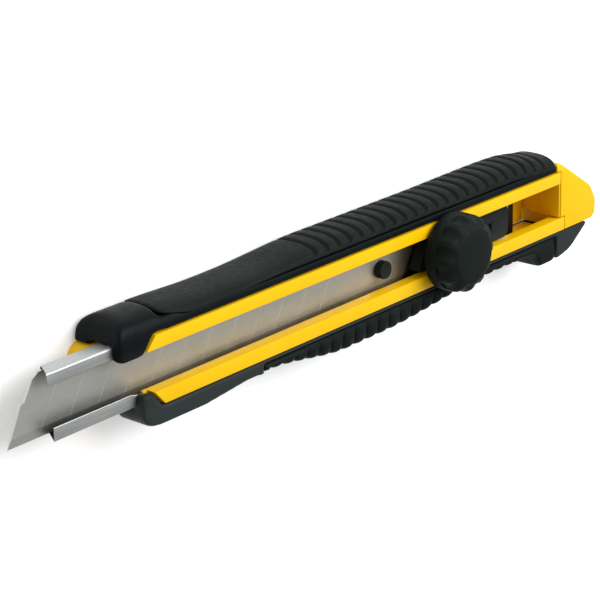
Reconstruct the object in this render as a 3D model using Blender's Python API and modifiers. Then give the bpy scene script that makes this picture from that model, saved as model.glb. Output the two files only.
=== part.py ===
"""A snap-off utility knife with a thumb-wheel lock, built as separate solids in one assembly.

The knife lies on its back face. +X runs from the blade's tip to the tail, +Y from the cutting edge to
the spine and +Z towards the thumb wheel. Sizes are in millimetres, measured from the blade: X from the
tip, Y from the cutting edge, Z from the blade's front surface. ORIGIN moves them into the world frame,
whose origin is the bottom centre of the whole knife.
"""

import math

import bmesh
import bpy
from mathutils import Matrix, Vector

MM = 0.001

# Whole knife
LENGTH = 128.5
SPINE_TOP = 13.4
BELLY_BOTTOM = -5.6
BACK = -5.5
FRONT = 3.5
MID_Z = (BACK + FRONT) / 2
HALF_DEPTH = (FRONT - BACK) / 2
SPINE_POWER = 0.8
BELLY_POWER = 0.35
ORIGIN = Vector((-LENGTH / 2, -(SPINE_TOP + BELLY_BOTTOM) / 2, -BACK)) * MM
SEAM = 0.2
FIT = 0.1

# Blade: the 9 mm snap-off size
BLADE_EDGE = 80.2
BLADE_WIDTH = 9.0
BLADE_THICK = 0.4
SCORE_PITCH = 5.0
SCORE_COUNT = 12
SCORE_DEPTH = 0.12
SLANT = 1 / math.tan(math.radians(60))
EDGE_WIDTH = 1.3
HOLE_X = 75.0
HOLE_Y = 3.8
HOLE_RADIUS = 1.5

# Folded steel guide around the blade
GUIDE_X = (5.1, 111.0)
SHEET = 0.25
GUIDE_Y = (-0.45, 9.35)
GUIDE_Z = (-1.35, 1.4)
FLANGE_WIDTH = 1.75

# Yellow body: two front rails, a window between them and a wall behind the guide
RAIL_LOW = (-0.75, 1.4)
RAIL_HIGH = (7.45, 9.4)
WINDOW_END = 118.0
BODY_X = (22.2, 118.1)
LOWER_RAIL_END = 119.4
TAIL_HOLLOW_X = 111.3
TAIL_HOLLOW_BACK = -4.3
BODY_Y = (-1.9, 10.7)
BODY_Z = (-4.0, 2.0)
TONGUE_X = 15.4
TONGUE_Y = (-0.4, 8.6)
TONGUE_TOP_Z = -1.7

# Black covers, rubber grips and the tail cap's plug
PLUG_BACK = -0.6
UPPER_NOSE_X = 17.0
LOWER_NOSE_X = 20.8
NOSE_TOP = 12.7
NOSE_SWEEP_Z = -1.8
PAD_SEAT_HIGH = 11.4
PAD_SEAT_LOW = -2.6
UPPER_PAD_X = (25.3, 117.0)
LOWER_PAD_X = (45.0, 117.2)
PAD_WRAP = 0.9
UPPER_PAD_LOW = 10.95
LOWER_PAD_HIGH = -1.7
RIB_PITCH = 2.58
RIB_GROOVE = 0.9
RIB_DEPTH = 0.4
SCALLOP_DEPTH = 0.5

# Slider, its screw and its thumb wheel
WHEEL_X = 87.1
WHEEL_Y = 4.4
WHEEL_RADIUS = 6.2
WHEEL_FACE_RADIUS = 4.5
WHEEL_Z = (3.9, 9.0)
FLUTES = 12
FLUTE_BACK = 6.0
FLUTE_DEPTH = 0.4
FLUTE_RADIUS = 1.4
BLOCK_REAR = 105.0
BLOCK_GAP = 0.35
HOLDER_X = (71.0, 109.0)
HOLDER_FRONT = -0.6
PEG_TOP = 1.3
SCREW_RADIUS = 1.5
PLATE_X = (85.3, 91.4)
PLATE_Z = (0.65, 1.05)
COLLAR_TOP = 1.65


def clear_scene():
    for item in list(bpy.data.objects):
        bpy.data.objects.remove(item, do_unlink=True)


def collection(name):
    made = bpy.data.collections.new(name)
    bpy.context.scene.collection.children.link(made)
    return made


clear_scene()
PARTS = collection("utility_knife")
CUTTERS = collection("cutters")
KNIFE = bpy.data.objects.new("knife_frame", None)
KNIFE.location = ORIGIN
PARTS.objects.link(KNIFE)


def material(name, colour, roughness, metallic=0.0):
    made = bpy.data.materials.new(name)
    made.use_nodes = True
    shader = made.node_tree.nodes["Principled BSDF"]
    shader.inputs["Base Color"].default_value = (*colour, 1.0)
    shader.inputs["Roughness"].default_value = roughness
    shader.inputs["Metallic"].default_value = metallic
    return made


YELLOW = material("yellow_plastic", (0.9, 0.55, 0.01), 0.35)
BLACK = material("black_plastic", (0.03, 0.033, 0.035), 0.5)
RUBBER = material("black_rubber", (0.035, 0.038, 0.04), 0.7)
STEEL = material("blade_steel", (0.55, 0.55, 0.52), 0.35, 1.0)
ZINC = material("plated_steel", (0.7, 0.7, 0.7), 0.3, 1.0)


def add_object(name, mesh, surface=None):
    made = bpy.data.objects.new(name, mesh)
    made.parent = KNIFE
    PARTS.objects.link(made)
    if surface:
        mesh.materials.clear()
        mesh.materials.append(surface)
    return made


def rounded(corners, steps=4):
    """Polygon points for corners (x, y) or (x, y, radius), each radius turned into an arc."""
    points = []
    count = len(corners)
    for index, corner in enumerate(corners):
        here = Vector(corner[:2])
        radius = corner[2] if len(corner) > 2 else 0
        if not radius:
            points.append(tuple(here))
            continue
        before = (Vector(corners[index - 1][:2]) - here).normalized()
        after = (Vector(corners[(index + 1) % count][:2]) - here).normalized()
        half = before.angle(after) / 2
        centre = here + (before + after).normalized() * radius / math.sin(half)
        start = here + before * radius / math.tan(half) - centre
        end = here + after * radius / math.tan(half) - centre
        turn = start.angle_signed(end)
        for step in range(steps + 1):
            arm = start.copy()
            arm.rotate(Matrix.Rotation(-turn * step / steps, 2))
            points.append(tuple(centre + arm))
    return points


def circle(x, y, radius, steps=24):
    turns = [2 * math.pi * step / steps for step in range(steps)]
    return [(x + radius * math.cos(turn), y + radius * math.sin(turn)) for turn in turns]


def prism(name, outline, low, high, surface=None, along="Z"):
    """An outline in XY drawn along Z, in YZ drawn along X, or in XZ drawn along Y."""
    curve = bpy.data.curves.new(name, "CURVE")
    curve.dimensions = "2D"
    curve.fill_mode = "BOTH"
    curve.extrude = (high - low) / 2 * MM
    spline = curve.splines.new("POLY")
    spline.points.add(len(outline) - 1)
    for point, (u, v) in zip(spline.points, outline):
        point.co = (u * MM, v * MM, 0, 1)
    spline.use_cyclic_u = True
    drawn = bpy.data.objects.new(name + "_curve", curve)
    bpy.context.scene.collection.objects.link(drawn)
    graph = bpy.context.evaluated_depsgraph_get()
    mesh = bpy.data.meshes.new_from_object(drawn.evaluated_get(graph))
    bpy.data.objects.remove(drawn, do_unlink=True)
    bpy.data.curves.remove(curve)
    mesh.transform(Matrix.Translation((0, 0, (low + high) / 2 * MM)))
    if along == "X":
        mesh.transform(Matrix(((0, 0, 1, 0), (1, 0, 0, 0), (0, 1, 0, 0), (0, 0, 0, 1))))
    if along == "Y":
        mesh.transform(Matrix(((1, 0, 0, 0), (0, 0, 1, 0), (0, 1, 0, 0), (0, 0, 0, 1))))
    shell = bmesh.new()
    shell.from_mesh(mesh)
    bmesh.ops.remove_doubles(shell, verts=shell.verts, dist=1e-7)
    bmesh.ops.recalc_face_normals(shell, faces=shell.faces)
    shell.to_mesh(mesh)
    shell.free()
    return add_object(name, mesh, surface)


def box(name, x, y, z, surface=None):
    outline = [(x[0], y[0]), (x[1], y[0]), (x[1], y[1]), (x[0], y[1])]
    return prism(name, outline, z[0], z[1], surface)


def loft(name, rings, surface=None):
    """A closed solid through rings of equal length, each a list of (x, y, z), with flat ends."""
    shell = bmesh.new()
    rows = [[shell.verts.new(Vector(point) * MM) for point in ring] for ring in rings]
    count = len(rings[0])
    for row, following in zip(rows, rows[1:]):
        for index in range(count):
            nearby = (index + 1) % count
            shell.faces.new((row[index], row[nearby], following[nearby], following[index]))
    shell.faces.new(rows[0][::-1])
    shell.faces.new(rows[-1])
    bmesh.ops.recalc_face_normals(shell, faces=shell.faces)
    mesh = bpy.data.meshes.new(name)
    shell.to_mesh(mesh)
    shell.free()
    return add_object(name, mesh, surface)


def combine(target, tool, operation):
    modifier = target.modifiers.new(tool.name, "BOOLEAN")
    modifier.operation = operation
    modifier.solver = "EXACT"
    modifier.object = tool
    if tool.name in PARTS.objects:
        PARTS.objects.unlink(tool)
        CUTTERS.objects.link(tool)
    tool.hide_render = True
    tool.display_type = "WIRE"


def cut(target, *tools):
    for tool in tools:
        combine(target, tool, "DIFFERENCE")
    return target


def join(target, *tools):
    for tool in tools:
        combine(target, tool, "UNION")
    return target


def keep(target, tool):
    combine(target, tool, "INTERSECT")
    return target


def crown(shoulder, top, half, power=SPINE_POWER, steps=14):
    """Half-superellipse across the handle's depth: (y, z) from the front side over the top to the back."""
    points = []
    for step in range(steps + 1):
        turn = math.pi * step / steps
        across = math.copysign(abs(math.cos(turn)) ** power, math.cos(turn))
        rise = abs(math.sin(turn)) ** power
        points.append((shoulder + (top - shoulder) * rise, MID_Z + half * across))
    return points


def handle_section(top, bottom, half):
    """The handle's outline across its depth, crowned at the spine and at the belly."""
    return crown(9.6, top, half) + crown(-0.7, bottom, half, BELLY_POWER)[::-1]


def body_frame():
    body = box("body_frame", BODY_X, BODY_Y, BODY_Z, YELLOW)
    rail_outline = [
        (21.9, RAIL_HIGH[0]), (23.7, RAIL_HIGH[1]), (BODY_X[1], RAIL_HIGH[1]),
        (BODY_X[1], RAIL_LOW[1]), (LOWER_RAIL_END, RAIL_LOW[1]), (LOWER_RAIL_END, RAIL_LOW[0]),
        (24.9, RAIL_LOW[0]), (23.0, RAIL_LOW[1]),
    ]
    rails = prism("rails", rail_outline, 0, FRONT)
    back_x = (TONGUE_X, BODY_X[1])
    corners = [
        (back_x[0], TONGUE_Y[0], 2.5), (back_x[1], TONGUE_Y[0]),
        (back_x[1], TONGUE_Y[1]), (back_x[0], TONGUE_Y[1], 3.0),
    ]
    back = prism("back_wall", rounded(corners), BACK, TONGUE_TOP_Z)
    join(body, rails, back)
    slot_y = (GUIDE_Y[0] - FIT, GUIDE_Y[1] + FIT)
    slot_z = (GUIDE_Z[0] - FIT, GUIDE_Z[1] + FIT)
    slot = box("guide_slot", (10, BODY_X[1] + 1), slot_y, slot_z)
    window = box("window", (10, BODY_X[1] + 1), (RAIL_LOW[1], RAIL_HIGH[0]), (0, FRONT + 1))
    hook_room = box("hook_room", (UPPER_PAD_X[1], BODY_X[1] + 1), (RAIL_HIGH[1], BODY_Y[1] + 1), BODY_Z)
    tail_x = (TAIL_HOLLOW_X, BODY_X[1] + 1)
    tail_hollow = box("tail_hollow", tail_x, slot_y, (TAIL_HOLLOW_BACK, 0))
    return cut(body, slot, window, hook_room, tail_hollow)


def end_cap():
    """The tail piece: it hooks over the upper rail's end and plugs the window."""
    hook_x = UPPER_PAD_X[1] + SEAM
    upper_x = BODY_X[1] + SEAM
    lower_x = LOWER_RAIL_END + SEAM
    outline = [
        (hook_x, RAIL_HIGH[1] + SEAM), (upper_x, RAIL_HIGH[1] + SEAM), (upper_x, RAIL_LOW[1] + SEAM),
        (lower_x, RAIL_LOW[1] + SEAM), (lower_x, RAIL_LOW[0]), (127.3, RAIL_LOW[0]),
        (128.4, -0.1, 0.6), (LENGTH, 2.4, 1.5), (126.9, 5.1, 3.0), (hook_x, 11.5, 0.6),
    ]
    cap = prism("end_cap", rounded(outline), BACK - 1, FRONT + 1, YELLOW)
    section = handle_section(12.4, -2.0, HALF_DEPTH)
    keep(cap, prism("cap_section", section, 110, LENGTH + 1, along="X"))
    plug_y = (RAIL_LOW[1] + SEAM, RAIL_HIGH[0] - SEAM)
    join(cap, box("cap_plug", (WINDOW_END, upper_x + 0.5), plug_y, (PLUG_BACK, FRONT - 0.2)))
    return cap


def wall_room(side):
    """The room that the body's inner wall takes from a cover."""
    wall_y = (BODY_Y[0] - SEAM, BODY_Y[1] + SEAM)
    wall_z = (BODY_Z[0] - SEAM, BODY_Z[1] + SEAM)
    return box(side + "_wall_room", (BODY_X[0] - SEAM, BODY_X[1] + SEAM), wall_y, wall_z)


def cut_sides(cover, name, outline):
    """Steps a cover in at its front and its back, where a grip wraps round it."""
    for side, z in (("front", (FRONT - PAD_WRAP, FRONT + 1)), ("back", (BACK - 1, BACK + PAD_WRAP))):
        cut(cover, prism(name + side, outline, *z))


def upper_cover():
    low = RAIL_HIGH[1] + SEAM
    step_x = UPPER_PAD_X[0] - SEAM
    outline = [
        (UPPER_NOSE_X, 7.3, 0.8), (UPPER_NOSE_X, NOSE_TOP, 3.2), (step_x, NOSE_TOP),
        (step_x, PAD_SEAT_HIGH), (UPPER_PAD_X[1], PAD_SEAT_HIGH), (UPPER_PAD_X[1], low),
        (23.5, low), (21.6, 7.3),
    ]
    cover = prism("upper_cover", rounded(outline), BACK - 1, FRONT + 1, BLACK)
    section = handle_section(NOSE_TOP, -8, HALF_DEPTH)
    keep(cover, prism("upper_section", section, 10, LENGTH, along="X"))
    seat = UPPER_PAD_LOW - SEAM
    above = [(step_x, 14), (step_x, 12), (30.4, seat), (LENGTH, seat), (LENGTH, 14)]
    cut_sides(cover, "upper_step_", above)
    rail_room = box("upper_rail_room", (23.5, LENGTH), (0, low), (BACK - 1, FRONT + 1))
    tongue_z = (BACK - 1, TONGUE_TOP_Z + SEAM)
    tongue_room = box("upper_tongue_room", (10, LENGTH), (0, TONGUE_Y[1] + SEAM), tongue_z)
    guide_z = (TONGUE_TOP_Z - 1, GUIDE_Z[1] + SEAM)
    guide_room = box("upper_guide_room", (10, 30), (0, GUIDE_Y[1] + SEAM), guide_z)
    return cut(cover, wall_room("upper"), rail_room, tongue_room, guide_room)


def lower_cover():
    high = RAIL_LOW[0] - SEAM
    start = LOWER_PAD_X[0] - SEAM
    end = LOWER_PAD_X[1] + SEAM
    outline = [
        (LOWER_NOSE_X, RAIL_LOW[1], 0.5), (22.7, RAIL_LOW[1]), (24.6, high), (126.9, high, 0.3),
        (121.2, -4.1, 3), (end, -5.4, 0.8), (end, PAD_SEAT_LOW), (start, PAD_SEAT_LOW),
        (start, -2.95), (41.5, -2.95, 9), (33.0, -3.8, 9), (24.0, -3.8, 6), (LOWER_NOSE_X, -3.3, 2.2),
    ]
    cover = prism("lower_cover", rounded(outline), BACK - 1, FRONT + 1, BLACK)
    section = handle_section(20, BELLY_BOTTOM, HALF_DEPTH)
    keep(cover, prism("lower_section", section, 10, LENGTH, along="X"))
    seat = LOWER_PAD_HIGH + SEAM
    cut_sides(cover, "lower_step_", [(start, -6), (start, seat), (end, seat), (end, -6)])
    swept = [(10, NOSE_SWEEP_Z), (LOWER_NOSE_X, NOSE_SWEEP_Z), (LOWER_NOSE_X + 6, BACK - 1), (10, BACK - 1)]
    cut(cover, prism("nose_sweep", swept, -8, 4, along="Y"))
    tongue_z = (BACK - 1, TONGUE_TOP_Z + SEAM)
    tongue_room = box("lower_tongue_room", (10, LENGTH), (TONGUE_Y[0] - SEAM, 9), tongue_z)
    guide_z = (TONGUE_TOP_Z - 1, GUIDE_Z[1] + SEAM)
    guide_room = box("lower_guide_room", (10, 30), (GUIDE_Y[0] - SEAM, 9), guide_z)
    return cut(cover, wall_room("lower"), tongue_room, guide_room)


def smooth_between(x, start, end, low, high):
    """A soft step from low to high as x goes from start to end."""
    part = min(max((x - start) / (end - start), 0), 1)
    return low + (high - low) * part * part * (3 - 2 * part)


def spine_height(x):
    rise = smooth_between(x, 46, 60, 0, SPINE_TOP - 12.0)
    return 12.0 + rise - smooth_between(x, 108, 117.5, 0, 1.4)


def belly_height(x):
    swell = smooth_between(x, 45, 64, 0, 2.4) - smooth_between(x, 72, 101, 0, 2.1)
    nub = smooth_between(x, 110, 112.5, 0, 2.35) - smooth_between(x, 115.4, LOWER_PAD_X[1], 0, 0.9)
    return -2.95 - swell - nub


def pad_stations(first, last, ribs_from, ribs_to, deep):
    """(x, groove depth) along a grip: plain ends, with a groove of its own at each rib pitch."""
    stations = [(first + (ribs_from - first) * step / 8, 0) for step in range(8)]
    x = ribs_from
    while x + RIB_PITCH < ribs_to:
        land = RIB_PITCH - RIB_GROOVE
        depths = ((0, 0), (land, 0), (land + RIB_GROOVE * 0.3, 1), (land + RIB_GROOVE * 0.7, 1))
        stations += [(x + offset, deep * depth) for offset, depth in depths]
        x += RIB_PITCH
    stations += [(x + (last - x) * step / 6, 0) for step in range(7)]
    return stations


def grip(name, stations, side, shoulder, seat, height, power):
    """A rubber shell over a cover: crowned outside, square inside."""
    inner = HALF_DEPTH - PAD_WRAP + SEAM
    seat_y = seat + side * SEAM
    rings = []
    for x, groove in stations:
        outside = crown(shoulder, height(x) - side * groove, HALF_DEPTH - 0.5 * groove, power)
        inside = [(shoulder, MID_Z - inner), (seat_y, MID_Z - inner)]
        inside += [(seat_y, MID_Z + inner), (shoulder, MID_Z + inner)]
        rings.append([(x, y, z) for y, z in outside + inside])
    return loft(name, rings, RUBBER)


def upper_grip():
    stations = pad_stations(*UPPER_PAD_X, 56.0, 114.0, RIB_DEPTH)
    pad = grip("upper_grip", stations, 1, UPPER_PAD_LOW, PAD_SEAT_HIGH, spine_height, SPINE_POWER)
    front = UPPER_PAD_X[0]
    below = [(front - 1, 9), (front - 1, 12.2), (front + 0.2, 12.2), (30.7, UPPER_PAD_LOW + 0.02), (31, 9)]
    for side, z in (("front", (MID_Z + 3, FRONT + 1)), ("back", (BACK - 1, MID_Z - 3))):
        cut(pad, prism("upper_grip_" + side, below, *z))
    return pad


def lower_grip():
    stations = pad_stations(*LOWER_PAD_X, 47.0, 106.0, SCALLOP_DEPTH)
    return grip("lower_grip", stations, -1, LOWER_PAD_HIGH, PAD_SEAT_LOW, belly_height, BELLY_POWER)


def blade_guide():
    low_y, high_y = GUIDE_Y
    back, front = GUIDE_Z
    bend = SHEET * 1.2
    section = [
        (low_y, back, bend), (high_y, back, bend), (high_y, front, bend),
        (high_y - FLANGE_WIDTH, front), (high_y - FLANGE_WIDTH, front - SHEET),
        (high_y - SHEET, front - SHEET), (high_y - SHEET, back + SHEET),
        (low_y + SHEET, back + SHEET), (low_y + SHEET, front - SHEET),
        (low_y + FLANGE_WIDTH, front - SHEET), (low_y + FLANGE_WIDTH, front), (low_y, front, bend),
    ]
    return prism("blade_guide", rounded(section), *GUIDE_X, STEEL, along="X")


def blade():
    top_x = SLANT * BLADE_WIDTH
    outline = [(0, 0), (BLADE_EDGE, 0), (BLADE_EDGE + top_x, BLADE_WIDTH), (top_x, BLADE_WIDTH)]
    body = prism("blade", outline, -BLADE_THICK, 0, STEEL)
    middle = -BLADE_THICK / 2
    for name, face in (("front", 0), ("back", -BLADE_THICK)):
        out = math.copysign(1, face - middle)
        keen = middle + out * 0.03
        bevel = [(-1, keen), (0, keen), (EDGE_WIDTH, face), (EDGE_WIDTH, face + out), (-1, face + out)]
        cut(body, prism("edge_bevel_" + name, bevel, -1, BLADE_EDGE + 1, along="X"))
    low, high = -1.0, BLADE_WIDTH + 1.0
    line = [(low, -0.09), (low, 0.09), (high, 0.09), (high, -0.09)]
    score = prism("score_line", [(SCORE_PITCH + y * SLANT + x, y) for y, x in line], -SCORE_DEPTH, 1)
    row = score.modifiers.new("row", "ARRAY")
    row.count = SCORE_COUNT
    row.use_relative_offset = False
    row.use_constant_offset = True
    row.constant_offset_displace = (SCORE_PITCH * MM, 0, 0)
    hole = prism("blade_hole", circle(HOLE_X, HOLE_Y, HOLE_RADIUS), -2, 2)
    return cut(body, score, hole)


def blade_holder():
    """The steel strip behind the blade, which carries the peg that drives it."""
    front, rear = HOLDER_X
    y = (0.4, BLADE_WIDTH - 0.4)
    corners = [(front, y[0], 1.5), (rear, y[0], 1.5), (rear, y[1], 1.5), (front, y[1], 1.5)]
    return prism("blade_holder", rounded(corners), GUIDE_Z[0] + SHEET + FIT, HOLDER_FRONT, ZINC)


def blade_peg():
    """The peg that stands on the holder and reaches through the blade's hole."""
    peg = circle(HOLE_X, HOLE_Y, HOLE_RADIUS - FIT)
    return prism("blade_peg", peg, HOLDER_FRONT + FIT, PEG_TOP, BLACK)


def slider_block():
    """The block that runs in the window, over the blade holder, with a pocket for the clamp plate."""
    y = (RAIL_LOW[1] + BLOCK_GAP, RAIL_HIGH[0] - BLOCK_GAP)
    front = [BLADE_EDGE + BLOCK_GAP + SLANT * level for level in y]
    corners = [(front[0], y[0], 0.3), (BLOCK_REAR, y[0], 1.2)]
    corners += [(BLOCK_REAR, y[1], 1.2), (front[1], y[1], 0.3)]
    block = prism("slider_block", rounded(corners), FIT, 2.3, BLACK)
    pocket_x = (PLATE_X[0] - 0.3, PLATE_X[1] + 0.3)
    pocket = box("plate_pocket", pocket_x, (0, BLADE_WIDTH), (-1, PLATE_Z[1] + FIT))
    collar = prism("collar_pocket", circle(WHEEL_X, WHEEL_Y, 2.4), 0, COLLAR_TOP + FIT)
    bore = prism("screw_bore", circle(WHEEL_X, WHEEL_Y, SCREW_RADIUS + 0.15), -1, 3)
    dimple = box("block_dimple", (97.5, 100.5), (3.2, 5.0), (1.9, 3))
    return cut(block, pocket, collar, bore, dimple)


def clamp_plate():
    """The threaded steel plate that the screw pulls against the guide's flanges."""
    y = (0.5, BLADE_WIDTH - 0.5)
    plate = box("clamp_plate", PLATE_X, y, PLATE_Z, ZINC)
    collar = prism("plate_collar", circle(WHEEL_X, WHEEL_Y, 2.2), PLATE_Z[0] + 0.05, COLLAR_TOP)
    bore = prism("plate_bore", circle(WHEEL_X, WHEEL_Y, SCREW_RADIUS + 0.08), -1, 2)
    join(plate, collar)
    return cut(plate, bore)


def clamp_screw():
    return prism("clamp_screw", circle(WHEEL_X, WHEEL_Y, SCREW_RADIUS), PLATE_Z[0] - 0.1, 6.0, ZINC)


def spring_washer():
    ring = prism("spring_washer", circle(WHEEL_X, WHEEL_Y, 2.6), 2.4, 2.65, ZINC)
    bore = prism("washer_bore", circle(WHEEL_X, WHEEL_Y, SCREW_RADIUS + 0.2), 2, 3)
    return cut(ring, bore)


def thumb_wheel():
    """A fluted wheel turned about its own axis, with a bored hub below it."""
    back, face = WHEEL_Z
    bore = SCREW_RADIUS + FIT
    profile = [
        (0, face), (WHEEL_FACE_RADIUS - 0.4, face - 0.1), (WHEEL_FACE_RADIUS, face - 0.3),
        (WHEEL_RADIUS - 0.5, face - 0.8), (WHEEL_RADIUS, face - 1.5), (WHEEL_RADIUS, back + 0.3),
        (WHEEL_RADIUS - 0.3, back), (2.7, back), (2.7, 2.8), (bore, 2.8), (bore, 6.2), (0, 6.2),
    ]
    mesh = bpy.data.meshes.new("thumb_wheel")
    points = [(radius * MM, 0, z * MM) for radius, z in profile]
    mesh.from_pydata(points, [(index, index + 1) for index in range(len(points) - 1)], [])
    wheel = add_object("thumb_wheel", mesh, RUBBER)
    wheel.location = (WHEEL_X * MM, WHEEL_Y * MM, 0)
    turn = wheel.modifiers.new("turned", "SCREW")
    turn.steps = turn.render_steps = 64
    turn.use_merge_vertices = True
    turn.merge_threshold = 0.00001
    tools = bmesh.new()
    for flute in range(FLUTES):
        angle = 2 * math.pi * (flute + 0.5) / FLUTES
        arm = (WHEEL_RADIUS + FLUTE_RADIUS - FLUTE_DEPTH) * MM
        middle = (FLUTE_BACK + face + 1) / 2 * MM
        place = Matrix.Translation((arm * math.cos(angle), arm * math.sin(angle), middle))
        bmesh.ops.create_cone(
            tools, cap_ends=True, segments=20, radius1=FLUTE_RADIUS * MM, radius2=FLUTE_RADIUS * MM,
            depth=(face + 1 - FLUTE_BACK) * MM, matrix=place,
        )
    flutes_mesh = bpy.data.meshes.new("wheel_flutes")
    tools.to_mesh(flutes_mesh)
    tools.free()
    flutes = add_object("wheel_flutes", flutes_mesh)
    flutes.location = wheel.location
    return cut(wheel, flutes)


for build in (
    body_frame, end_cap, upper_cover, lower_cover, upper_grip, lower_grip, blade_guide, blade,
    blade_holder, blade_peg, slider_block, clamp_plate, clamp_screw, spring_washer, thumb_wheel,
):
    build()
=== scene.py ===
"""The looks of the snap-off utility knife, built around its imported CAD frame.

Pieces are drawn in the knife's own millimetres: X from the blade's tip to the tail, Y from the cutting
edge to the spine, and Z from the blade's front surface towards the thumb wheel. add_mesh() moves them into
the frame, by the blade's own box.
"""

import math

import bmesh
import bpy
import numpy as np
from mathutils import Matrix, Vector


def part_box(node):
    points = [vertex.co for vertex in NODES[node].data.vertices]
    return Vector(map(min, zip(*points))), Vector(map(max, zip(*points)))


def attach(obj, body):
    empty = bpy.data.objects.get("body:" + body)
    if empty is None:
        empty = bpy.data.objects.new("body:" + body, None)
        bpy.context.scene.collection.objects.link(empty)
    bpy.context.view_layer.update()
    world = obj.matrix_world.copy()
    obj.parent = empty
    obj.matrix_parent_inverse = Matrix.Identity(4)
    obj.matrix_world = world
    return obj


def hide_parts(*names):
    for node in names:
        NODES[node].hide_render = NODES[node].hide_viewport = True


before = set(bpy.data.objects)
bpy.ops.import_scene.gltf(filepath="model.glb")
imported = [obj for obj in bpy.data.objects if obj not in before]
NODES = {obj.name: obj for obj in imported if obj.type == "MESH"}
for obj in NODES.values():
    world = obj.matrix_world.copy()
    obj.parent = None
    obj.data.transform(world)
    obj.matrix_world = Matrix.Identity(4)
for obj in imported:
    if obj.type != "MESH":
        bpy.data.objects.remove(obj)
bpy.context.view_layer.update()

MM = 0.001
BLADE_LOW, BLADE_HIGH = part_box("blade")
ORIGIN = Vector((BLADE_LOW.x, BLADE_LOW.y, BLADE_HIGH.z))

# How far the seen flanges of the guide stand above their plain CAD shape, in millimetres.
FLANGE_RISE = 0.6


def extent(node):
    """A CAD node's lowest and highest corners, in the knife's own millimetres."""
    return [(corner - ORIGIN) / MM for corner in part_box(node)]


# ---------------------------------------------------------------- materials

class Paint:
    """A material's nodes, added one by one around its Principled shader."""

    def __init__(self, name, roughness, metallic=0.0):
        self.material = bpy.data.materials.new(name)
        self.material.use_nodes = True
        self.tree = self.material.node_tree
        self.shader = self.tree.nodes["Principled BSDF"]
        self.shader.inputs["Roughness"].default_value = roughness
        self.shader.inputs["Metallic"].default_value = metallic
        self.place = self.tree.nodes.new("ShaderNodeTexCoord").outputs["Object"]
        self.height = None

    def node(self, kind, **settings):
        made = self.tree.nodes.new("ShaderNode" + kind)
        for key, value in settings.items():
            setattr(made, key, value)
        return made

    def link(self, out, into):
        self.tree.links.new(out, into)

    def stretched(self, scale):
        mapping = self.node("Mapping")
        mapping.inputs["Scale"].default_value = scale
        self.link(self.place, mapping.inputs["Vector"])
        return mapping.outputs["Vector"]

    def noise(self, scale, detail=3.0, stretch=None):
        texture = self.node("TexNoise")
        texture.inputs["Scale"].default_value = scale
        texture.inputs["Detail"].default_value = detail
        self.link(self.stretched(stretch) if stretch else self.place, texture.inputs["Vector"])
        return texture.outputs["Fac"]

    def ramp(self, source, *stops):
        """Stops are (position, value or colour)."""
        ramp = self.node("ValToRGB")
        elements = ramp.color_ramp.elements
        while len(elements) < len(stops):
            elements.new(0.5)
        for element, (position, value) in zip(elements, stops):
            colour = (value, value, value) if isinstance(value, (int, float)) else value
            element.position = position
            element.color = (*colour, 1.0)
        self.link(source, ramp.inputs["Fac"])
        return ramp.outputs["Color"]

    def maths(self, operation, *values):
        """One sum; each value is a socket or a number."""
        made = self.node("Math", operation=operation)
        for socket, value in zip(made.inputs, values):
            if isinstance(value, bpy.types.NodeSocket):
                self.link(value, socket)
            else:
                socket.default_value = value
        return made.outputs["Value"]

    def mix(self, amount, first, second, blend="MIX"):
        """Mixes two colours; each is a socket or a plain colour, and amount is a socket or a number."""
        mixer = self.node("Mix", data_type="RGBA", blend_type=blend)
        for value, socket in ((amount, 0), (first, 6), (second, 7)):
            if isinstance(value, bpy.types.NodeSocket):
                self.link(value, mixer.inputs[socket])
            elif isinstance(value, (int, float)):
                mixer.inputs[socket].default_value = value
            else:
                mixer.inputs[socket].default_value = (*value, 1.0)
        return mixer.outputs[2]

    def colour(self, source):
        self.link(source, self.shader.inputs["Base Color"])

    def roughness(self, source, low, high):
        self.link(self.ramp(source, (0.3, low), (0.7, high)), self.shader.inputs["Roughness"])

    def bump(self, source, distance, strength=1.0):
        """Adds one layer of relief, distance in millimetres."""
        bump = self.node("Bump")
        bump.inputs["Strength"].default_value = strength
        bump.inputs["Distance"].default_value = distance * MM
        self.link(source, bump.inputs["Height"])
        if self.height:
            self.link(self.height, bump.inputs["Normal"])
        self.height = bump.outputs["Normal"]
        self.link(self.height, self.shader.inputs["Normal"])

    def set(self, **values):
        for key, value in values.items():
            self.shader.inputs[key.replace("_", " ")].default_value = value
        return self


def yellow_plastic():
    paint = Paint("yellow_plastic", 0.34)
    cloud = paint.noise(90.0, 2.0)
    paint.colour(paint.ramp(cloud, (0.35, (0.90, 0.530, 0.001)), (0.65, (0.94, 0.560, 0.002))))
    paint.roughness(paint.noise(900.0, 2.0), 0.30, 0.42)
    paint.bump(paint.noise(2600.0, 2.0), 0.006, 0.6)
    return paint.set(Specular_IOR_Level=0.20).material


def black_plastic():
    """Black along the spine, with painted light making it a little greyer toward the belly."""
    paint = Paint("black_plastic", 0.45)
    cloud = paint.noise(120.0, 3.0)
    colour = paint.ramp(cloud, (0.3, (0.0024, 0.0042, 0.0044)), (0.7, (0.0036, 0.0060, 0.0062)))
    across = paint.node("SeparateXYZ")
    paint.link(paint.place, across.inputs["Vector"])
    # Painted light: the black turns greyer toward the belly.
    belly = paint.ramp(paint.maths("MULTIPLY_ADD", across.outputs["Y"], -50.0, 0.5), (0.25, 0.0), (0.75, 1.0))
    paint.colour(paint.mix(belly, colour, (0.027, 0.033, 0.033)))
    paint.roughness(paint.noise(700.0, 3.0), 0.38, 0.50)
    paint.bump(paint.noise(3800.0, 2.0), 0.006, 0.6)
    return paint.set(Specular_IOR_Level=0.07).material


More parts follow.
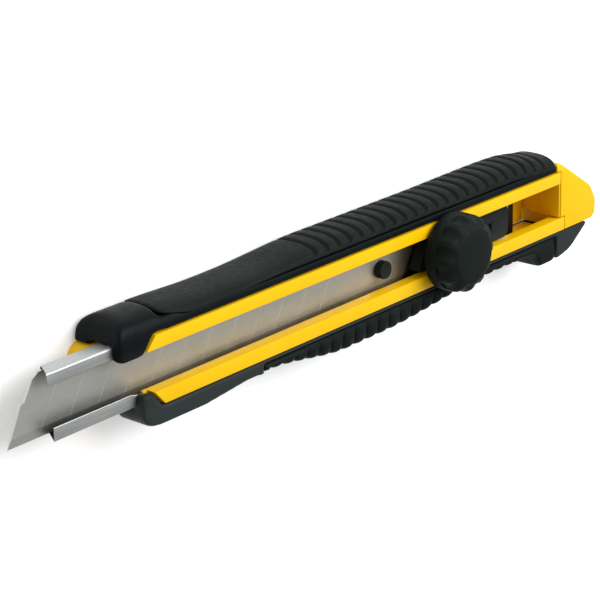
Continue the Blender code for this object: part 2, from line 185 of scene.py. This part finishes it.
def black_rubber():
    paint = Paint("black_rubber", 0.62)
    cloud = paint.noise(160.0, 3.0)
    paint.colour(paint.ramp(cloud, (0.3, (0.0064, 0.0098, 0.0092)), (0.7, (0.0088, 0.0132, 0.0124))))
    paint.roughness(paint.noise(1100.0, 3.0), 0.50, 0.64)
    paint.bump(paint.noise(5200.0, 2.0), 0.006, 0.6)
    return paint.set(Specular_IOR_Level=0.07).material


def guide_steel():
    """Bright outside, with painted shade making it dark inside the folded channel."""
    paint = Paint("guide_steel", 0.32, 1.0)
    grain = paint.noise(160.0, 4.0, (1.0, 24.0, 24.0))
    outside = paint.ramp(grain, (0.3, (0.42, 0.44, 0.43)), (0.7, (0.48, 0.50, 0.49)))
    low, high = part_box("blade_guide")
    axes = paint.node("SeparateXYZ")
    paint.link(paint.place, axes.inputs["Vector"])
    off_middle = paint.maths("ABSOLUTE", paint.maths("SUBTRACT", axes.outputs["Y"], (low.y + high.y) / 2))
    within = paint.maths("LESS_THAN", off_middle, (high.y - low.y) / 2 - 0.1 * MM)
    beneath = paint.maths("LESS_THAN", axes.outputs["Z"], high.z + (FLANGE_RISE - 0.1) * MM)
    # Painted shade: the inside of the folded channel is mixed to near black.
    inside = paint.maths("MULTIPLY", within, beneath)
    paint.colour(paint.mix(inside, outside, (0.02, 0.02, 0.018)))
    paint.roughness(grain, 0.40, 0.50)
    paint.bump(paint.noise(500.0, 2.0), 0.004, 0.5)
    return paint.material


def blade_steel():
    """Grey and faintly stained, with painted light making it warmer and lighter toward the tail."""
    paint = Paint("blade_steel", 0.4, 1.0)
    grain = paint.noise(300.0, 5.0, (1.0, 5.0, 5.0))
    stain = paint.noise(160.0, 5.0)
    colour = paint.ramp(grain, (0.3, (0.490, 0.500, 0.470)), (0.7, (0.520, 0.530, 0.500)))
    colour = paint.mix(paint.ramp(stain, (0.50, 0.0), (0.75, 0.5)), colour, (0.450, 0.430, 0.390))
    along = paint.node("SeparateXYZ")
    paint.link(paint.place, along.inputs["Vector"])
    # Painted light: the blade turns warmer and lighter toward the tail.
    far = paint.ramp(paint.maths("MULTIPLY", along.outputs["X"], 10.0), (0.0, 0.0), (0.3, 1.0))
    colour = paint.mix(far, colour, (0.86, 0.77, 0.57))
    paint.colour(colour)
    paint.roughness(stain, 0.42, 0.50)
    paint.bump(stain, 0.004, 0.4)
    return paint.material


def plated_steel():
    paint = Paint("plated_steel", 0.35, 1.0)
    grain = paint.noise(400.0, 3.0)
    paint.colour(paint.ramp(grain, (0.3, (0.50, 0.50, 0.48)), (0.7, (0.60, 0.60, 0.58))))
    paint.roughness(grain, 0.28, 0.44)
    return paint.material


YELLOW = yellow_plastic()
BLACK = black_plastic()
RUBBER = black_rubber()
GUIDE = guide_steel()
BLADE = blade_steel()
PLATED = plated_steel()
SLOTS = {
    "yellow_plastic": YELLOW, "black_plastic": BLACK, "black_rubber": RUBBER,
    "guide_steel": GUIDE, "blade_steel": BLADE, "plated_steel": PLATED,
}


# ---------------------------------------------------------------- mesh helpers

def paint_object(item, surface):
    item.data.materials.clear()
    item.data.materials.append(surface)


def finish_modifiers(item):
    """Makes the mesh that the modifiers give the object's own, so that a later step can read it."""
    graph = bpy.context.evaluated_depsgraph_get()
    mesh = bpy.data.meshes.new_from_object(item.evaluated_get(graph))
    item.modifiers.clear()
    item.data = mesh


def shade(item, angle=40):
    item.data.shade_smooth()
    item.data.set_sharp_from_angle(angle=math.radians(angle))


def eased_copy(node, name, width, surface, body, segments=3, angle=28):
    """A CAD node's own shape with its faces merged and its edges rounded."""
    item = bpy.data.objects.new(name, NODES[node].data.copy())
    bpy.context.scene.collection.objects.link(item)
    shell = bmesh.new()
    shell.from_mesh(item.data)
    bmesh.ops.remove_doubles(shell, verts=shell.verts, dist=0.002 * MM)
    bmesh.ops.dissolve_limit(
        shell, angle_limit=math.radians(1), verts=shell.verts, edges=shell.edges,
        use_dissolve_boundaries=False,
    )
    shell.to_mesh(item.data)
    shell.free()
    bevel = item.modifiers.new("eased", "BEVEL")
    bevel.width = width * MM
    bevel.segments = segments
    bevel.limit_method = "ANGLE"
    bevel.angle_limit = math.radians(angle)
    bevel.harden_normals = False
    finish_modifiers(item)
    shade(item)
    paint_object(item, surface)
    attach(item, body)
    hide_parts(node)
    return item


def stand_for(item, body, slot, *nodes):
    paint_object(item, SLOTS[slot])
    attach(item, body)
    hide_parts(*nodes)
    return item


def add_mesh(name, points, faces, angle=40):
    """An object from points in the knife's own millimetres, with its faces turned outwards."""
    mesh = bpy.data.meshes.new(name)
    mesh.from_pydata([ORIGIN + Vector(point) * MM for point in points], [], faces)
    item = bpy.data.objects.new(name, mesh)
    bpy.context.scene.collection.objects.link(item)
    shell = bmesh.new()
    shell.from_mesh(mesh)
    bmesh.ops.recalc_face_normals(shell, faces=shell.faces)
    shell.to_mesh(mesh)
    shell.free()
    shade(item, angle)
    return item


def loft(name, rings, angle=40):
    """A closed skin through rings of equal length, with flat ends."""
    count = len(rings[0])
    faces = [list(range(count))[::-1], list(range((len(rings) - 1) * count, len(rings) * count))]
    for row in range(len(rings) - 1):
        for index in range(count):
            nearby = (index + 1) % count
            here, there = row * count, (row + 1) * count
            faces.append((here + index, here + nearby, there + nearby, there + index))
    return add_mesh(name, [point for ring in rings for point in ring], faces, angle)


def smooth_between(x, start, end, low=0.0, high=1.0):
    """A soft step from low to high as x goes from start to end."""
    part = min(max((x - start) / (end - start), 0.0), 1.0)
    return low + (high - low) * part * part * (3 - 2 * part)


def arc_drop(distance, radius):
    """How far a rounded edge of this radius has dropped, at a distance from its end."""
    inside = min(max(1 - distance / radius, 0.0), 1.0)
    return radius * (1 - math.sqrt(1 - inside * inside))


def rounded(corners, steps=6):
    """Polygon points for corners (x, y) or (x, y, radius), each radius turned into an arc."""
    points = []
    count = len(corners)
    for index, corner in enumerate(corners):
        here = Vector(corner[:2])
        radius = corner[2] if len(corner) > 2 else 0
        if not radius:
            points.append(tuple(here))
            continue
        before = (Vector(corners[index - 1][:2]) - here).normalized()
        after = (Vector(corners[(index + 1) % count][:2]) - here).normalized()
        half = before.angle(after) / 2
        centre = here + (before + after).normalized() * radius / math.sin(half)
        start = here + before * radius / math.tan(half) - centre
        end = here + after * radius / math.tan(half) - centre
        turn = start.angle_signed(end)
        for step in range(steps + 1):
            arm = start.copy()
            arm.rotate(Matrix.Rotation(-turn * step / steps, 2))
            points.append(tuple(centre + arm))
    return points


# ---------------------------------------------------------------- grips

BODY_LOW, BODY_HIGH = extent("body_frame")
MID_Z = (BODY_LOW.z + BODY_HIGH.z) / 2
HALF_DEPTH = (BODY_HIGH.z - BODY_LOW.z) / 2
PAD_EDGE = 0.3
TURNS = [0, 0.02, 0.05, 0.09, 0.14, 0.2, 0.27, 0.35, 0.44, 0.54, 0.65, 0.77, 0.9, 1.04, 1.18, 1.32, 1.46]
TURNS += [math.pi - turn for turn in TURNS[::-1]]


def pad_ring(x, shoulder, top, drop, relief, front, power):
    """One section of a grip: crowned outside with rounded lower edges, square inside.

    drop lowers the whole skin, relief(rise) lowers it by the share of the crown's height already climbed,
    and front(rise) moves the section along X.
    """
    ring = []
    for turn in TURNS:
        rise = abs(math.sin(turn)) ** power
        across = math.copysign(abs(math.cos(turn)) ** power, math.cos(turn))
        height = abs(top - shoulder) * rise
        inset = drop + relief(height) + arc_drop(height, PAD_EDGE)
        lean = Vector((math.sin(turn), across))
        y = shoulder + math.copysign(height - (drop + relief(height)) * lean.x, top - shoulder)
        z = MID_Z + HALF_DEPTH * across - inset * lean.y
        ring.append((x + front(height), y, z))
    inner = HALF_DEPTH - 0.7
    inside_y = shoulder + math.copysign(0.62, top - shoulder)
    first, last = ring[0][0], ring[-1][0]
    ring.append((last, shoulder, MID_Z - inner))
    ring.append((last, inside_y, MID_Z - inner))
    ring.append((first, inside_y, MID_Z + inner))
    ring.append((first, shoulder, MID_Z + inner))
    return ring


def upper_pad():
    """The spine's grip: plain with a lip at the nose, then ribbed to the tail."""
    start, end = 25.5, 117.0
    pitch, first_groove, last_groove = 2.58, 56.7, 114.0
    stations = [start + step for step in (0, 0.06, 0.15, 0.3, 0.5, 0.8)]
    stations += [26.6 + 0.7 * step for step in range(41)]
    stations += [55.3 + pitch / 12 * step for step in range(int((114.9 - 55.3) / pitch * 12))]
    stations += [end - step for step in (2.0, 1.4, 0.9, 0.6, 0.4, 0.2, 0.08, 0)]
    rings = []
    for x in stations:
        rise = smooth_between(x, 44, 60, 0, 1.1) + smooth_between(x, 84, 104, 0, 0.3)
        top = 12.05 + rise + smooth_between(x, 38, 26, 0, 0.45) - smooth_between(x, 108, 117.5, 0, 1.0)
        shoulder = 10.95 - smooth_between(x, 50, 38, 0, 0.45) - smooth_between(x, 104, 117, 0, 0.9)
        phase = abs((x - first_groove + pitch / 2) % pitch - pitch / 2)
        groove = 0.5 + 0.5 * math.cos(math.pi * min(phase / 0.62, 1.0))
        if not first_groove - 1 < x < last_groove:
            groove = 0.0
        drop = 0.8 * arc_drop(x - start, 0.45) + arc_drop(end - x, 0.6)
        stretch = max(0.0, 1 - (x - start) / 14)

        def relief(height, groove=groove):
            return 0.48 * groove * smooth_between(height, 0.35, 0.85)

        def front(height, stretch=stretch):
            return 5.0 * stretch * smooth_between(height, 1.6, 0.0)

        rings.append(pad_ring(x, shoulder, top, drop, relief, front, 0.8))
    item = loft("upper_pad", rings, 60)
    return stand_for(item, "handle", "black_rubber", "upper_grip")


def lower_pad():
    """The belly's grip: a row of scallops with a plain nub behind it."""
    start, end = 45.0, 117.1
    pitch, first_lobe, last_lobe = 2.7, 46.3, 105.7
    stations = [start + step for step in (0, 0.1, 0.3, 0.6, 0.9)]
    steps = int((last_lobe - first_lobe) / pitch * 14)
    stations += [first_lobe + pitch / 14 * step for step in range(steps + 1)]
    stations += [last_lobe + 0.3 * step for step in range(1, 36)]
    stations += [end - step for step in (0.5, 0.35, 0.2, 0.1, 0.04, 0)]
    rings = []
    for x in stations:
        swell = smooth_between(x, 45, 64, 0, 2.4) - smooth_between(x, 72, 101, 0, 2.1)
        nub = smooth_between(x, 110.9, 113.6, 0, 2.7)
        bottom = -2.95 - swell - nub
        lobe = 0.0
        if first_lobe <= x <= last_lobe:
            across = 2 * ((x - first_lobe) / pitch % 1.0) - 1
            lobe = 1 - math.sqrt(max(0.0, 1 - across * across))
        drop = arc_drop(x - start, 0.4) + arc_drop(end - x, 0.7)

        def relief(height, lobe=lobe):
            return 0.55 * lobe * smooth_between(height, 0.3, 1.2)

        power = smooth_between(x, 106.0, 112.0, 0.4, 0.28)
        rings.append(pad_ring(x, -1.7, bottom, drop, relief, lambda height: 0.0, power))
    item = loft("lower_pad", rings, 60)
    return stand_for(item, "handle", "black_rubber", "lower_grip")


# ---------------------------------------------------------------- covers

def softened_copy(node, name, voxel, rounds, softness, reshape):
    """A CAD node's own shape as an even skin, relaxed where softness(point) says and then reshaped."""
    item = bpy.data.objects.new(name, NODES[node].data.copy())
    bpy.context.scene.collection.objects.link(item)
    skin = item.modifiers.new("skin", "REMESH")
    skin.mode = "VOXEL"
    skin.voxel_size = voxel * MM
    finish_modifiers(item)
    mesh = item.data
    places = np.empty(len(mesh.vertices) * 3)
    mesh.vertices.foreach_get("co", places)
    places = (places.reshape(-1, 3) - np.array(ORIGIN)) / MM
    edges = np.empty(len(mesh.edges) * 2, np.int64)
    mesh.edges.foreach_get("vertices", edges)
    edges = edges.reshape(-1, 2)
    ends = np.concatenate([edges, edges[:, ::-1]])
    count = np.bincount(ends[:, 0], minlength=len(places))[:, None]
    for step in range(rounds):
        total = np.zeros_like(places)
        for axis in range(3):
            total[:, axis] = np.bincount(ends[:, 0], places[ends[:, 1], axis], len(places))
        pull = softness(places, step / rounds)[:, None]
        places = places + 0.6 * pull * (total / count - places)
    places = reshape(places)
    mesh.vertices.foreach_set("co", (places * MM + np.array(ORIGIN)).ravel())
    mesh.update()
    shade(item, 180)
    return item


def ramp_down(values, start, end):
    return np.clip((end - values) / (end - start), 0.0, 1.0)


def upper_shell():
    def softness(places, share):
        return np.where(places[:, 0] < 26.0, 1.0, 1.0 if share < 0.2 else 0.0)

    def reshape(places):
        """Brings the nose's underside down to the guide."""
        x, y = places[:, 0], places[:, 1]
        places[:, 1] = y - 0.3 * ramp_down(x, 20.5, 23.0) * ramp_down(y, 9.8, 11.5)
        return places

    item = softened_copy("upper_cover", "upper_shell", 0.17, 22, softness, reshape)
    return stand_for(item, "handle", "black_plastic", "upper_cover")


def lower_shell():
    def softness(places, share):
        return np.where(places[:, 0] < 44.0, 1.0, 1.0 if share < 0.2 else 0.0)

    def reshape(places):
        """Fills the tail's lower corner out again."""
        x, y = places[:, 0], places[:, 1]
        places[:, 1] = y - 0.6 * ramp_down(-x, -118.0, -117.0) * ramp_down(y, -3.5, -1.2)
        return places

    item = softened_copy("lower_cover", "lower_shell", 0.17, 22, softness, reshape)
    return stand_for(item, "handle", "black_plastic", "lower_cover")


# ---------------------------------------------------------------- blade and guide

BLADE_THICK = (BLADE_HIGH.z - BLADE_LOW.z) / MM
SLANT = 1 / math.tan(math.radians(60))


def blade_plate():
    """The snap-off blade: ground edge, fine V-shaped score lines and a nicked front edge."""
    top = (BLADE_HIGH.y - BLADE_LOW.y) / MM
    tail = (BLADE_HIGH.x - BLADE_LOW.x) / MM - SLANT * top
    rows = [(0.0, 0.0), (1.3, 0.6), (5.5, 2.62), (5.56, 3.2), (8.28, 4.82), (8.6, 5.4), (top, 5.9)]
    columns = [(0.0, 0.0)]
    for line in range(1, 13):
        columns += [(line * 5.0 - 0.08, 0.0), (line * 5.0, 0.018), (line * 5.0 + 0.08, 0.0)]
    columns += [(tail, 0.0)]
    front, back = [], []
    for y, edge_x in rows:
        keen = 0.17 if y == 0 else 0.0
        for index, (start, depth) in enumerate(columns):
            x = edge_x if index == 0 else start + SLANT * y
            front.append((x, y, -keen - depth))
            back.append((x, y, -BLADE_THICK + keen + (0 if keen else depth)))
    wide = len(columns)
    last = wide * (len(rows) - 1)
    faces = []
    for row in range(len(rows) - 1):
        for column in range(wide - 1):
            corner = row * wide + column
            face = (corner, corner + 1, corner + wide + 1, corner + wide)
            faces += [face, tuple(len(front) + index for index in face)]
    rim = list(range(wide)) + [wide - 1 + wide * row for row in range(1, len(rows))]
    rim += list(range(last + wide - 2, last - 1, -1)) + [wide * row for row in range(len(rows) - 2, 0, -1)]
    for here, there in zip(rim, rim[1:] + rim[:1]):
        faces.append((here, there, len(front) + there, len(front) + here))
    item = add_mesh("blade_plate", front + back, faces, 3)
    return stand_for(item, "slider", "blade_steel", "blade")


def channel_section(low, high, width):
    """The guide's cross-section with rounded bends; width is the lower flange's."""
    back, front = low.z, high.z + FLANGE_RISE
    sheet, wall = 0.25, 0.2
    upper_width = 1.85
    outer, inner, bend = 0.35, 0.15, 0.95
    return rounded([
        (low.y, back, bend), (high.y, back, bend), (high.y, front, outer),
        (high.y - upper_width, front, 0.1), (high.y - upper_width, front - sheet, 0.1),
        (high.y - wall, front - sheet, inner), (high.y - wall, back + sheet, inner),
        (low.y + wall, back + sheet, inner), (low.y + wall, front - sheet, inner),
        (low.y + width, front - sheet, 0.1), (low.y + width, front, 0.1), (low.y, front, outer),
    ])


def channel():
    """The folded guide: a thin sheet whose flanges turn in over the blade, its open end cut back."""
    low, high = extent("blade_guide")
    front = high.z + FLANGE_RISE
    lower_nose, upper_nose, cut_back = 1.0, 0.4, 1.9
    rings = []
    open_width, railed_width = 2.05, 1.5
    for x, width in (
        (low.x, open_width), (low.x + 3, open_width), (20.0, open_width),
        (22.0, railed_width), (60.0, railed_width), (high.x, railed_width),
    ):
        ring = []
        for y, z in channel_section(low, high, width):
            nose = lower_nose if y < 2 else upper_nose
            sweep = cut_back * min((front - z) / (front - low.z), 1.0)
            ring.append((x + (nose + sweep if x == low.x else 0.0), y, z))
        rings.append(ring)
    item = loft("guide_channel", rings, 35)
    return stand_for(item, "handle", "guide_steel", "blade_guide")


def peg():
    low, high = extent("blade_peg")
    middle = (low + high) / 2
    radius = (high.x - low.x) / 2
    profile = [(radius, low.z), (radius, high.z - 0.2), (radius - 0.06, high.z - 0.06)]
    profile += [(radius - 0.2, high.z), (radius - 0.45, high.z), (radius - 0.6, high.z - 0.06), (0.3, high.z - 0.06)]
    rings = []
    for r, z in profile:
        turns = [math.pi * step / 20 for step in range(40)]
        rings.append([(middle.x + r * math.cos(a), middle.y + r * math.sin(a), z) for a in turns])
    item = loft("peg_head", rings, 40)
    return stand_for(item, "slider", "black_plastic", "blade_peg")


# ---------------------------------------------------------------- thumb wheel

def wheel():
    """The thumb wheel: a smooth rear tier, twelve shallow flutes in front of it and a domed face."""
    low, high = extent("thumb_wheel")
    centre = (low + high) / 2
    radius = (high.x - low.x) / 2
    face = high.z
    profile = [
        (1.7, 2.8, 0), (2.7, 2.8, 0), (2.7, 3.9, 0), (radius - 0.4, 3.9, 0), (radius - 0.12, 4.0, 0),
        (radius, 4.25, 0), (radius, 5.8, 0), (radius - 0.04, 5.98, 0), (radius - 0.04, 6.0, 0.0),
        (radius, 6.06, 1), (radius - 0.03, 7.0, 1), (radius - 0.14, 7.6, 1), (radius - 0.4, 8.1, 1),
        (radius - 0.8, 8.45, 0.9), (radius - 1.25, 8.68, 0.6), (4.7, 8.78, 0.1), (4.55, 8.86, 0),
        (4.42, 8.98, 0), (4.1, 9.08, 0), (3.0, 9.2, 0), (1.5, face + 0.27, 0), (0.3, face + 0.28, 0),
    ]
    flutes, samples = 12, 240
    half_flute, flute_depth = 0.19, 0.42
    rings = []
    for r, z, fluted in profile:
        ring = []
        for step in range(samples):
            angle = 2 * math.pi * step / samples
            pitch = 2 * math.pi / flutes
            off = abs(angle % pitch - pitch / 2) / half_flute
            hollow = flute_depth * fluted * (1 - off * off) if off < 1 else 0.0
            reach = r - hollow
            ring.append((centre.x + reach * math.cos(angle), centre.y + reach * math.sin(angle), z))
        rings.append(ring)
    item = loft("wheel_knob", rings, 30)
    return stand_for(item, "wheel", "black_rubber", "thumb_wheel")


# ---------------------------------------------------------------- the knife

eased_copy("body_frame", "body_shell", 0.15, YELLOW, "handle")
eased_copy("end_cap", "tail_cap", 0.22, YELLOW, "end_cap")
eased_copy("slider_block", "slider_block_shell", 0.15, BLACK, "slider")
upper_pad()
lower_pad()
upper_shell()
lower_shell()
blade_plate()
channel()
peg()
wheel()
for name in ("blade_holder", "clamp_plate", "clamp_screw", "spring_washer"):
    paint_object(NODES[name], PLATED)


# ---------------------------------------------------------------- stage

def stage():
    """A pale paper floor, an even white world and one large lamp above the spine's side."""
    bpy.ops.mesh.primitive_plane_add(size=6.0)
    floor = bpy.context.object
    floor.name = "floor"
    paint = Paint("floor_paper", 0.9)
    paint.colour(paint.ramp(paint.noise(3.0), (0.3, 0.90), (0.7, 0.92)))
    paint.set(Emission_Strength=0.28)
    paint_object(floor, paint.material)

    world = bpy.data.worlds.new("studio")
    bpy.context.scene.world = world
    world.use_nodes = True
    world.node_tree.nodes["Background"].inputs["Color"].default_value = (1.0, 1.0, 1.0, 1.0)
    world.node_tree.nodes["Background"].inputs["Strength"].default_value = 0.46

    lamp = bpy.data.lights.new("key", "AREA")
    lamp.shape = "SQUARE"
    lamp.size = 0.9
    lamp.energy = 14.0
    light = bpy.data.objects.new("key", lamp)
    light.location = (0.42, 0.55, 0.86)
    light.rotation_euler = (-light.location).to_track_quat("-Z", "Y").to_euler()
    bpy.context.scene.collection.objects.link(light)


def aim_camera():
    """A long lens above the blade's tip side, turned so that the knife climbs to the right."""
    place = Vector((-0.219046, 0.103065, 0.194219))
    target = Vector((-0.009358, 0.001005, 0.007))
    roll = math.radians(105.385)
    lens = bpy.data.cameras.new("camera")
    lens.lens = 123.885
    lens.sensor_width = 36.0
    lens.clip_start = 0.01
    camera = bpy.data.objects.new("camera", lens)
    look = (target - place).to_track_quat("-Z", "Y").to_matrix()
    camera.matrix_world = Matrix.Translation(place) @ (look @ Matrix.Rotation(roll, 3, "Z")).to_4x4()
    bpy.context.scene.collection.objects.link(camera)
    bpy.context.scene.camera = camera


stage()
aim_camera()
bpy.context.scene.view_settings.view_transform = "Standard"
